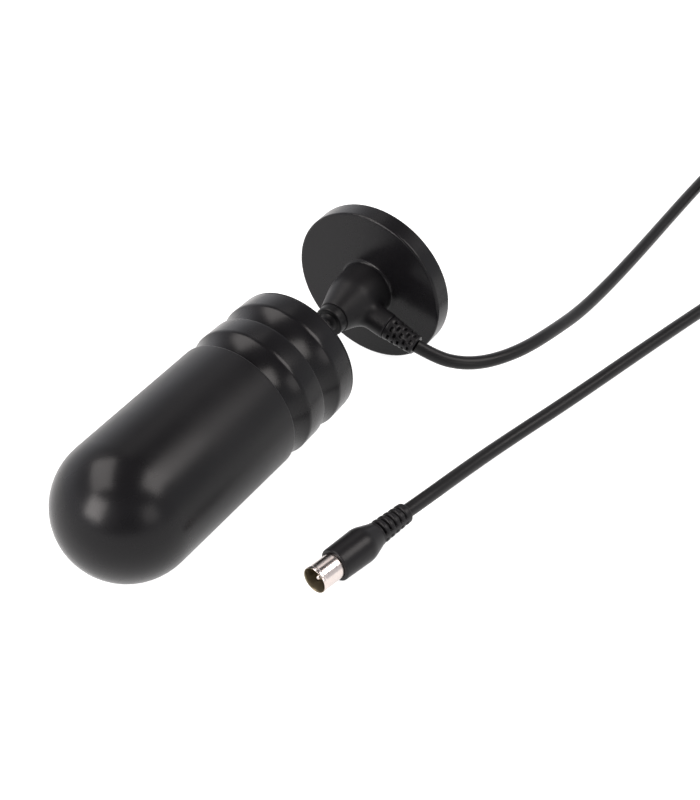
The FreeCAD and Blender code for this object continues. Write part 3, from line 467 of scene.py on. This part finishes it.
def make_end_cap():
    bore = 2.22
    mesh = lathe_mesh("end_cap", [
        (FLAT_END - 2.4, bore),
        (FLAT_END - 2.4, INNER - 0.1),
        (FLAT_END - 0.8, INNER - 0.1),
        (FLAT_END - 0.8, RADIUS - 0.1, 0.1),
        (FLAT_END, RADIUS - 0.1, 0.6),
        (FLAT_END, RADIUS - 2.6, 0.15),
        (FLAT_END - 0.35, RADIUS - 3.0, 0.15),
        (FLAT_END - 0.35, 10.6, 1.2),
        (FLAT_END + 1.6, 8.0, 0.8),
        (FLAT_END + 5.0, 4.6, 0.5),
        (FLAT_END + 5.0, bore),
    ], AERIAL, closed=True)
    cutters = []
    for place in screw_spots():
        cutters.append(lathe_mesh("sink", [
            (FLAT_END - 1.1, 0), (FLAT_END - 1.1, 2.3), (FLAT_END - 0.6, 2.3),
            (FLAT_END + 1.0, 2.9), (FLAT_END + 1.0, 0),
        ], place, segments=48))
    mesh = finished(cut_by(mesh, cutters), 30.0)
    add_piece("end_cap", mesh, "head", "end_plate")


def make_cap_screws():
    """Pan-head screws with a cross recess."""
    screws = []
    low = FLAT_END - 1.1
    for place in screw_spots():
        head = lathe_mesh("screw", [
            (low - 9.0, 0), (low - 9.0, 0.9, 0.3), (low, 0.9), (low, 2.1, 0.2),
            (low + 0.45, 2.1, 0.5), (low + 0.95, 0.9, 1.5), (low + 0.95, 0),
        ], place, segments=48)
        slots = []
        for turn in (0, math.pi / 2):
            work = bmesh.new()
            bmesh.ops.create_cube(work, size=1.0)
            spin = Matrix.Rotation(turn, 4, "X")
            size = Matrix.Diagonal((0.7 * MM, 2.3 * MM, 0.42 * MM, 1))
            middle = Matrix.Translation(((low + 0.85) * MM, 0, 0))
            bmesh.ops.transform(work, matrix=place @ middle @ spin @ size, verts=work.verts)
            slot = bpy.data.meshes.new("slot")
            work.to_mesh(slot)
            work.free()
            slots.append(slot)
        for slot in slots:
            head = cut_by(head, [slot])
        screws.append(finished(head, 35.0))
    add_piece("cap_screws", finished(joined("cap_screws", screws)), "head", "end_plate_screws")


# ---------------------------------------------------------------- neck and foot

def make_neck():
    """Moulded ball stud: a stem with a flange against the end cap, and the ball."""
    tip = FLAT_END + 5.0
    ball = 4.5
    stem = 2.2
    join = math.sqrt(ball * ball - stem * stem)
    flat = math.sqrt(ball * ball - 2.4 * 2.4)
    mesh = lathe_mesh("neck_ball", [
        (FLAT_END - 8.4, 1.3),
        (FLAT_END - 8.4, stem, 0.3),
        (tip, stem),
        (tip, 4.0, 0.35),
        (tip + 1.4, 4.0, 0.6),
        (tip + 2.9, stem, 1.5),
        (BALL - join, stem),
        ("arc", BALL + flat, 2.4, ball, -1),
        (BALL + flat, 2.0),
        (BALL, 1.3),
    ], AERIAL, segments=96, closed=True)
    add_piece("neck_ball", mesh, "head", "ball_stud")


def make_collar():
    cup = 4.53
    front = BALL - 2.6
    mouth = math.sqrt(cup * cup - 2.6 * 2.6)
    mesh = lathe_mesh("collar", [
        (front, mouth, 0.1),
        (BALL, cup),
        (HUB_TIP + 1.6, cup),
        (HUB_TIP + 1.6, 5.1),
        (HUB_TIP, 5.1),
        (HUB_TIP, 5.7, 0.15),
        (front, 5.7, 0.7),
    ], AERIAL, segments=128, closed=True)
    add_piece("collar", mesh, "base", "retaining_collar")


HUB_FILLET = 1.2
BLEND = 3.6              # how far the side boss blends into the hub
BORE = 5.15
SHOULDER = BALL + 6.8
SKIRT_END = BACK - 0.8
WALL = 2.3


def foot_outline():
    """Half section of the foot: outside, pad recess, cavity and the hub's bore."""
    cone_end = HUB_TIP + 8.9
    return outline([
        (HUB_TIP, BORE, 0.2),
        (HUB_TIP, 6.1, 0.5),
        (cone_end, 9.15),
        ("arc", cone_end + 4.0, 9.95, 15.6, -1),
        (FACE - HUB_FILLET, 10.6),
        ("arc", FACE, 10.6 + HUB_FILLET, HUB_FILLET, 1),
        (FACE, FOOT, 0.8),
        (SKIRT_END, FOOT, 0.4),
        (SKIRT_END, FOOT - WALL, 0.3),
        (FACE + WALL, FOOT - WALL),
        (FACE + WALL, 8.4),
        (FACE - HUB_FILLET, 8.4),
        (SHOULDER + 1.0, 6.6),
        (SHOULDER + 1.0, 2.4),
        (SHOULDER, 2.4),
        (SHOULDER, BORE),
    ])


def outline_distance(points, x, r):
    """Signed distance to a closed outline, negative inside, for arrays of stations and radii."""
    corners = np.array(points)
    nexts = np.roll(corners, -1, axis=0)
    nearest = np.full(x.shape, 1e9)
    inside = np.zeros(x.shape, dtype=bool)
    for (ax, ar), (bx, br) in zip(corners, nexts):
        run_x, run_r = bx - ax, br - ar
        length = run_x * run_x + run_r * run_r
        if length < 1e-12:
            continue
        share = np.clip(((x - ax) * run_x + (r - ar) * run_r) / length, 0.0, 1.0)
        nearest = np.minimum(nearest, np.hypot(x - ax - share * run_x, r - ar - share * run_r))
        crosses = (ar > r) != (br > r)
        with np.errstate(divide="ignore", invalid="ignore"):
            at = ax + (r - ar) * run_x / np.where(run_r == 0, 1.0, run_r)
        inside ^= crosses & (x < at)
    return np.where(inside, -nearest, nearest)


def soft_union(first, second, reach):
    """Smallest of two distances, blended where they are within reach of each other."""
    blend = np.maximum(reach - np.abs(first - second), 0.0) / reach
    return np.minimum(first, second) - blend ** 3 * reach / 6.0


FOOT_OUTLINE = foot_outline()
DROP = math.radians(RELIEF_DROP)
BOSS_AXIS = np.array([0.0, -math.cos(DROP), -math.sin(DROP)])
BOSS_BORE = 3.42
BOSS_START = 7.5         # from the aerial's axis, inside the hub's wall
BORE_START = 5.0
POST_CIRCLE = 11.4
POST_RADIUS = 2.6
POST_START = FACE + 0.5
POST_END = FACE + WALL + 3.0
PILOT_RADIUS = 1.0
PILOT_START = POST_END - 3.8
FOOT_POSTS = [(POST_CIRCLE * math.sin(turn), POST_CIRCLE * math.cos(turn))
              for turn in (0.0, math.tau / 3, -math.tau / 3)]
VOXEL = 0.42


def rod_distance(along, aside, first, last, radius, lip=0.0):
    """Distance to a round rod whose far edge is rounded by lip."""
    past_end = along - (last - lip)
    past_side = aside - (radius - lip)
    rod = np.minimum(np.maximum(past_end, past_side), 0.0) - lip
    rod += np.hypot(np.maximum(past_end, 0.0), np.maximum(past_side, 0.0))
    return np.maximum(rod, first - along)


def foot_distance(points):
    """Distance to the foot with its blended side boss, for points in local millimetres."""
    x = points[:, 0]
    whole = outline_distance(FOOT_OUTLINE, x, np.hypot(points[:, 1], points[:, 2]))
    for y, z in FOOT_POSTS:
        aside = np.hypot(points[:, 1] - y, points[:, 2] - z)
        post = rod_distance(x, aside, POST_START, POST_END, POST_RADIUS)
        pilot = rod_distance(x, aside, PILOT_START, POST_END + 9.0, PILOT_RADIUS)
        whole = np.maximum(np.minimum(whole, post), -pilot)
    along = points @ BOSS_AXIS
    offset = points - np.array([RELIEF_STATION, 0, 0]) - along[:, None] * BOSS_AXIS
    aside = np.linalg.norm(offset, axis=1)
    boss = rod_distance(along, aside, BOSS_START, SIDE_BOSS, SIDE_BOSS_RADIUS, 0.5)
    bore = rod_distance(along, aside, BORE_START, 40.0, BOSS_BORE)
    return np.maximum(soft_union(whole, boss, BLEND), -bore)


def foot_normals(points, step=0.02):
    """Directions in which the foot's distance grows."""
    slopes = []
    for axis in range(3):
        shift = np.zeros(3)
        shift[axis] = step
        slopes.append(foot_distance(points + shift) - foot_distance(points - shift))
    slopes = np.stack(slopes, axis=1)
    return slopes / np.maximum(np.linalg.norm(slopes, axis=1, keepdims=True), 1e-9)


def rough_foot():
    """Even mesh near the foot's surface: turned solids joined by a voxel remesh."""
    boss_place = AERIAL.inverted() @ RELIEF
    solids = [lathe_mesh("foot_turned", FOOT_OUTLINE, Matrix(), segments=160, closed=True)]
    solids.append(lathe_mesh("foot_boss", [
        (BOSS_START, BOSS_BORE), (SIDE_BOSS, BOSS_BORE),
        (SIDE_BOSS, SIDE_BOSS_RADIUS), (BOSS_START, SIDE_BOSS_RADIUS),
    ], boss_place, segments=96, closed=True))
    for y, z in FOOT_POSTS:
        solids.append(lathe_mesh("foot_post", [
            (POST_START, 0), (POST_START, POST_RADIUS), (POST_END, POST_RADIUS),
            (POST_END, PILOT_RADIUS), (PILOT_START, PILOT_RADIUS), (PILOT_START, 0),
        ], Matrix.Translation((0, y * MM, z * MM)), segments=48))
    thing = bpy.data.objects.new("foot_rough", joined("foot_rough", solids))
    scene.collection.objects.link(thing)
    remesh = thing.modifiers.new("skin", "REMESH")
    remesh.mode = "VOXEL"
    remesh.voxel_size = VOXEL * MM
    depsgraph = bpy.context.evaluated_depsgraph_get()
    mesh = bpy.data.meshes.new_from_object(thing.evaluated_get(depsgraph))
    bpy.data.objects.remove(thing)
    past_wall = 9.4
    bore = lathe_mesh("bore", [
        (BORE_START, 0), (BORE_START, BOSS_BORE), (past_wall, BOSS_BORE), (past_wall, 0),
    ], boss_place, segments=96)
    return cut_by(mesh, [bore])


def make_foot():
    """The foot as one skin whose points are moved onto its exact shape."""
    mesh = rough_foot()
    spots = np.empty(len(mesh.vertices) * 3)
    mesh.vertices.foreach_get("co", spots)
    spots = spots.reshape(-1, 3) / MM
    longest_move = 0.4
    for _ in range(6):
        off = np.clip(foot_distance(spots), -longest_move, longest_move)
        spots -= off[:, None] * foot_normals(spots)
    mesh.vertices.foreach_set("co", (spots * MM).ravel())
    mesh.transform(AERIAL)
    mesh.shade_smooth()
    turn = np.array(AERIAL.to_3x3())
    mesh.normals_split_custom_set_from_vertices((foot_normals(spots) @ turn.T).tolist())
    add_piece("foot", mesh, "base", "foot_housing", finish=FOOT_FINISH)


def make_pad():
    """Rubber pad with a shallow ring near its rim."""
    rim = FOOT - WALL - 0.1
    mesh = lathe_mesh("foot_rubber", [
        (BACK - 1.6, 0),
        (BACK - 1.6, rim),
        (BACK, rim, 0.4),
        (BACK, rim - 2.4, 0.2),
        (BACK - 0.4, rim - 2.8, 0.2),
        (BACK - 0.4, rim - 3.4, 0.2),
        (BACK, rim - 3.8, 0.2),
        (BACK, 0),
    ], AERIAL, segments=160)
    add_piece("foot_rubber", mesh, "base", "foot_pad")


# ---------------------------------------------------------------- reliefs and plug

CORE = 3.0               # radius at the bottom of the slots
SLOT = 1.1               # slots, lengthwise
RELIEF_STEM = 3.4
RELIEF_GAP = 0.06        # side boss to relief
PLUG_BODY = 13.6


def slot_share(inside, lip):
    """Depth of a slot at a place this far inside its edge, whose lip is rounded, from 0 to 1."""
    if inside <= 0:
        return 0.0
    if inside >= lip:
        return 1.0
    return 1.0 - math.sqrt(1.0 - (inside / lip) ** 2)


def with_lips(points, rows, lip):
    """The outline with more points where the slots' rounded lips need them."""
    bends = [lip * math.sin(math.radians(15 * k)) for k in range(7)]
    wanted = {round(first + bend, 4) for first, _ in rows for bend in bends}
    wanted |= {round(last - bend, 4) for _, last in rows for bend in bends}
    dense = []
    for (ax, ar), (bx, br) in zip(points, points[1:]):
        low, high = min(ax, bx) + 0.001, max(ax, bx) - 0.001
        between = sorted((x for x in wanted if low < x < high), reverse=bx < ax)
        dense.append((ax, ar))
        dense += [(x, ar + (br - ar) * (x - ax) / (bx - ax)) for x in between]
    return dense + [points[-1]]


def slotted_mesh(name, corners, matrix, rows, lips, width, count, turn, stagger):
    """A turned piece with rows of slots, each an arc. Every second row is turned on a little.

    lips are the roundings along the axis and round it, and the angles are in degrees.
    """
    lip, end_lip = lips
    half = math.radians(width) / 2
    pitch = math.tau / count

    def reach(x, r, angle):
        if r <= CORE:
            return r
        depths = [slot_share(min(x - first, last - x), lip) for first, last in rows]
        depth = max(depths)
        middle = math.radians(turn + stagger * (depths.index(depth) % 2))
        aside = (angle - middle + pitch / 2) % pitch - pitch / 2
        depth = min(depth, slot_share((half - abs(aside)) * r, end_lip))
        return r - (r - CORE) * depth

    points = with_lips(outline(corners), rows, lip)
    return turned_mesh(name, points, matrix, 160, False, 60.0, reach)


def make_relief():
    """Segmented relief on the hub, with short slots in staggered rows."""
    starts = [SIDE_BOSS + 1.9 + 2.1 * row for row in range(5)]
    wider = 0.08
    rows = [(start - wider, start + SLOT + wider) for start in starts]
    root = SIDE_BOSS + RELIEF_GAP
    mesh = slotted_mesh("relief", [
        (6.0, 0),
        (6.0, RELIEF_STEM),
        (root, RELIEF_STEM),
        (root, 4.75, 0.5),
        (RELIEF_END, 3.75, 0.45),
        (RELIEF_END, 0),
    ], RELIEF, rows, (0.22, 0.22), 29.0, 8, 0.0, 22.5)
    add_piece("relief", mesh, "base", "hub_relief")


def make_plug_grip():
    """Plug body that narrows to a relief with five rows of slots and a web on each side."""
    starts = [PLUG_REAR + 2.4 + 2.6 * row for row in range(5)]
    wider = 0.38
    rows = [(start - wider, start + SLOT + wider) for start in starts]
    mesh = slotted_mesh("plug_grip", [
        (PLUG_REAR, 0),
        (PLUG_REAR, 3.65, 0.5),
        (-19.8, 4.3, 2.0),
        (-PLUG_BODY, 6.3, 9.0),
        (0, 5.95, 1.0),
        (0, 4.75, 0.15),
        (-0.6, 4.68),
        (-6.0, 4.68),
        (-6.0, 0),
    ], PLUG, rows, (0.6, 0.3), 164.0, 2, 102.0, 0.0)
    add_piece("plug_grip", mesh, "base", "plug_overmould")


def make_plug_sleeve():
    """Thin rolled sleeve with a bead at its mouth."""
    outer, inner = 4.65, 4.40
    end = 9.3
    mesh = lathe_mesh("plug_shell", [
        (-6.0, inner),
        (end - 0.5, inner, 0.5),
        (end, inner + 0.15, 0.08),
        (end, inner + 0.28, 0.12),
        (end - 0.45, 4.8, 0.4),
        (end - 1.05, 4.8, 0.4),
        (end - 1.5, outer, 0.5),
        (-6.0, outer),
    ], PLUG, segments=160, closed=True, sharp=60.0)
    sleeve = add_piece("plug_shell", mesh, "base", "plug_sleeve")
    # Faces that do not face outward, the bore and the front of the lip, get the darker metal as painted shade.
    mesh.materials.append(SLEEVE_PAINTED_SHADE)
    to_plug = PLUG.inverted()
    for face in mesh.polygons:
        middle = to_plug @ face.center
        outward = Vector((0, middle.y, middle.z)).normalized()
        if (to_plug.to_3x3() @ face.normal).dot(outward) < 0.3:
            face.material_index = 1
    return sleeve


def make_plug_core():
    mesh = lathe_mesh("plug_core", [
        (-6.0, 1.17),
        (0.9, 1.17, 0.1),
        (0.9, 2.2, 0.25),
        (0.3, 2.6, 0.25),
        (0.3, 4.38),
        (-6.0, 4.38),
    ], PLUG, segments=96, closed=True)
    add_piece("plug_core", mesh, "base", "plug_insulator")


def make_plug_pin():
    """Rolled centre pin with a rounded tip."""
    tip = 7.9
    mesh = lathe_mesh("plug_tip", [
        (-8.0, 0),
        (-8.0, 1.17),
        (tip - 1.1, 1.17, 0.8),
        (tip, 0.55, 0.45),
        (tip, 0),
    ], PLUG, segments=64)
    add_piece("plug_tip", mesh, "base", "plug_pin")


# ---------------------------------------------------------------- the lead

COIL_CENTRE = Vector((290.0, -86.8, 0.8))
COIL_LAYERS = [(32.5, 2.5), (27.5, 2.5), (22.5, 2.5), (22.5, 7.5), (27.5, 7.5), (32.5, 7.5),
               (32.5, 12.5)]
COIL_ENTERS = 90.0
COIL_SWEEP = 1990.4
COIL_STEPS = 110


def coil_points():
    """Control points of the put-away turns, going round clockwise from the north side."""
    points = []
    step = COIL_SWEEP / COIL_STEPS
    swell = 1 / math.cos(math.radians(step / 2))
    for index in range(COIL_STEPS):
        travelled = (index + 0.5) * step
        since = travelled - 240.0
        layer = 0
        share = 0.0
        for change in range(6):
            start = 300.0 * change
            if since > start:
                layer = change
                share = min((since - start) / 60.0, 1.0)
        share = share * share * (3 - 2 * share)
        near, far = COIL_LAYERS[layer], COIL_LAYERS[min(layer + 1, 6)]
        radius = (near[0] + (far[0] - near[0]) * share) * swell
        height = near[1] + (far[1] - near[1]) * share
        angle = math.radians(COIL_ENTERS - travelled)
        spot = Vector((radius * math.cos(angle), radius * math.sin(angle), height))
        points.append(tuple(COIL_CENTRE + spot))
    return points


relief_end = RELIEF @ Vector((RELIEF_END * MM, 0, 0))
plug_rear = PLUG @ Vector((PLUG_REAR * MM, 0, 0))
route = [
    (69.0, -36.0, 17.8),
    (73.7, -42.9, 15.4),
    (80.4, -48.1, 13.7),
    (89.3, -52.1, 12.3),
    (101.5, -55.3, 10.7),
    (118.2, -56.9, 8.4),
    (140.2, -57.1, 4.2),
    (165.5, -56.7, 2.5),
    (195.0, -56.1, 2.5),
    (226.0, -54.9, 2.5),
    (250.0, -54.4, 3.0),
    (270.0, -54.3, 3.3),
]
route += coil_points()
route += [
    (264.46, -115.16, 13.3),
    (248.7, -112.3, 12.8),
    (231.0, -108.6, 9.4),
    (212.0, -104.4, 4.6),
    (192.0, -99.6, 2.5),
    (162.0, -93.2, 2.5),
    (133.0, -87.3, 2.5),
    (104.0, -81.6, 2.5),
    (84.6, -77.6, 2.5),
    (66.2, -73.5, 2.5),
    (47.9, -69.9, 2.8),
    (30.2, -67.7, 4.2),
    (15.3, -66.3, 5.7),
]


def make_lead():
    """The whole lead as one smooth spline through the route."""
    controls = [relief_end] + [Vector(point) * MM for point in route] + [plug_rear]
    curve = bpy.data.curves.new("lead", "CURVE")
    curve.dimensions = "3D"
    spline = curve.splines.new("NURBS")
    spline.points.add(len(controls) - 1)
    for control, spot in zip(spline.points, controls):
        control.co = (*spot, 1.0)
    spline.order_u = 3
    spline.use_endpoint_u = True
    spline.resolution_u = 8
    curve.bevel_depth = 2.5 * MM
    curve.bevel_resolution = 6
    curve.use_fill_caps = True
    lead = bpy.data.objects.new("lead", curve)
    scene.collection.objects.link(lead)
    curve.materials.append(MATERIALS["jacket"])
    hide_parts("cable_lead", "cable_coil", "cable_tail")
    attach(lead, "base")
    return lead


def make_tie():
    """Flat strap with rounded corners round the bundle of turns, closed on top of itself."""
    inner, outer = 19.5, 35.1
    height = 15.1
    thick, width = 0.8, 8.0
    rounding = 1.6
    steps = 6
    loop = []
    corners = [(outer, 0, -90), (outer, height, 0), (inner, height, 90), (inner, 0, 180)]
    for r, z, start in corners:
        centre_r = r - rounding if r == outer else r + rounding
        centre_z = z + rounding if z == 0 else z - rounding
        for k in range(steps + 1):
            turn = math.radians(start + 90 * k / steps)
            loop.append((centre_r, centre_z, math.cos(turn), math.sin(turn)))
    bead = 0.2
    section = [(-width / 2 + bead, 0), (-width / 2, bead), (-width / 2, thick - bead),
               (-width / 2 + bead, thick), (width / 2 - bead, thick), (width / 2, thick - bead),
               (width / 2, bead), (width / 2 - bead, 0)]
    place = Matrix.Translation(COIL_CENTRE * MM)
    verts = []
    for centre_r, centre_z, out_r, out_z in loop:
        for across, rise in section:
            reach = rounding + rise
            spot = Vector((centre_r + out_r * reach, across, centre_z + out_z * reach))
            verts.append(place @ (spot * MM))
    count, sides = len(loop), len(section)
    faces = [
        (k * sides + m, k * sides + (m + 1) % sides,
         (k + 1) % count * sides + (m + 1) % sides, (k + 1) % count * sides + m)
        for k in range(count) for m in range(sides)
    ]
    mesh = bpy.data.meshes.new("lead_tie")
    mesh.from_pydata(verts, [], faces)
    return add_piece("lead_tie", finished(mesh, 40.0), "base", "coil_tie")


make_shell()
make_rear()
make_end_cap()
make_cap_screws()
make_neck()
make_collar()
make_foot()
make_pad()
make_relief()
make_plug_grip()
make_plug_sleeve()
make_plug_core()
make_plug_pin()
lead = make_lead()
tie = make_tie()
on_lead = [tie, nodes["plug_ferrule"]]
on_lead += [bpy.data.objects[name] for name in ("plug_grip", "plug_shell", "plug_core", "plug_tip")]


# ---------------------------------------------------------------- floor and light

def make_floor():
    mesh = bpy.data.meshes.new("floor")
    mesh.from_pydata([(-40, -40, 0), (40, -40, 0), (40, 40, 0), (-40, 40, 0)], [], [(0, 1, 2, 3)])
    floor = bpy.data.objects.new("floor", mesh)
    scene.collection.objects.link(floor)
    material, tree_nodes, _ = new_material("floor")
    shader = tree_nodes["Principled BSDF"]
    shader.inputs["Base Color"].default_value = (0.35, 0.35, 0.35, 1)
    shader.inputs["Roughness"].default_value = 0.9
    shader.inputs["Specular IOR Level"].default_value = 0.0
    shader.inputs["Emission Color"].default_value = (1, 1, 1, 1)
    shader.inputs["Emission Strength"].default_value = 0.92
    mesh.materials.append(material)


def softbox(name, azimuth, elevation, distance, size, radiance):
    """A soft box seen from the object in one direction, with the light it gives off."""
    turn, rise = math.radians(azimuth), math.radians(elevation)
    away = Vector((math.cos(rise) * math.cos(turn), math.cos(rise) * math.sin(turn),
                   math.sin(rise)))
    data = bpy.data.lights.new(name, "AREA")
    data.shape = "RECTANGLE"
    data.size, data.size_y = size
    data.energy = radiance * math.pi * size[0] * size[1]
    data.color = (1.0, 0.95, 0.93)
    light = bpy.data.objects.new(name, data)
    light.location = away * distance
    light.rotation_euler = (-away).to_track_quat("-Z", "Y").to_euler()
    light.visible_camera = False
    scene.collection.objects.link(light)


def direction_share(tree_nodes, links, where, azimuth):
    """How much a direction points to one azimuth, from -1 to 1."""
    across = tree_nodes.new("ShaderNodeVectorMath")
    across.operation = "DOT_PRODUCT"
    turn = math.radians(azimuth)
    across.inputs[1].default_value = (math.cos(turn), math.sin(turn), 0.0)
    links.new(where.outputs["Generated"], across.inputs[0])
    return across.outputs["Value"]


def make_world():
    """A studio that is light near the horizon, dark overhead and dark behind the camera."""
    world = bpy.data.worlds.new("World")
    world.use_nodes = True
    tree_nodes, links = world.node_tree.nodes, world.node_tree.links
    where = tree_nodes.new("ShaderNodeTexCoord")
    parts = tree_nodes.new("ShaderNodeSeparateXYZ")
    links.new(where.outputs["Generated"], parts.inputs["Vector"])
    height = spread(tree_nodes, links, parts.outputs["Z"], 1.0, 0.0, 0.25, 0.75)
    camera_side = direction_share(tree_nodes, links, where, -141.0)
    left_side = direction_share(tree_nodes, links, where, 80.0)
    open_side = spread(tree_nodes, links, camera_side, 1.0, 0.05, 0.70, 0.96)
    both = tree_nodes.new("ShaderNodeMath")
    both.operation = "MULTIPLY"
    links.new(height, both.inputs[0])
    links.new(open_side, both.inputs[1])
    strength = spread(tree_nodes, links, left_side, 0.70, 1.40, -1.0, 1.0)
    glow = tree_nodes.new("ShaderNodeMath")
    glow.operation = "MULTIPLY_ADD"
    links.new(both.outputs["Value"], glow.inputs[0])
    links.new(strength, glow.inputs[1])
    glow.inputs[2].default_value = 0.10
    background = tree_nodes["Background"]
    background.inputs["Color"].default_value = (0.96, 0.96, 1.0, 1)
    links.new(glow.outputs["Value"], background.inputs["Strength"])
    scene.world = world


make_floor()
make_world()
softbox("box_right", -60, 50, 2.0, (1.05, 0.95), 7.8)
softbox("box_front", -104, 22, 2.0, (0.7, 0.8), 3.0)
softbox("box_left", 119, 60, 2.0, (1.75, 1.05), 6.2)
softbox("box_side", 168, 28, 2.0, (0.9, 1.0), 13.0)
softbox("reflector", 30, 51, 2.0, (0.55, 0.55), 1.3)
scene.view_settings.view_transform = "Standard"
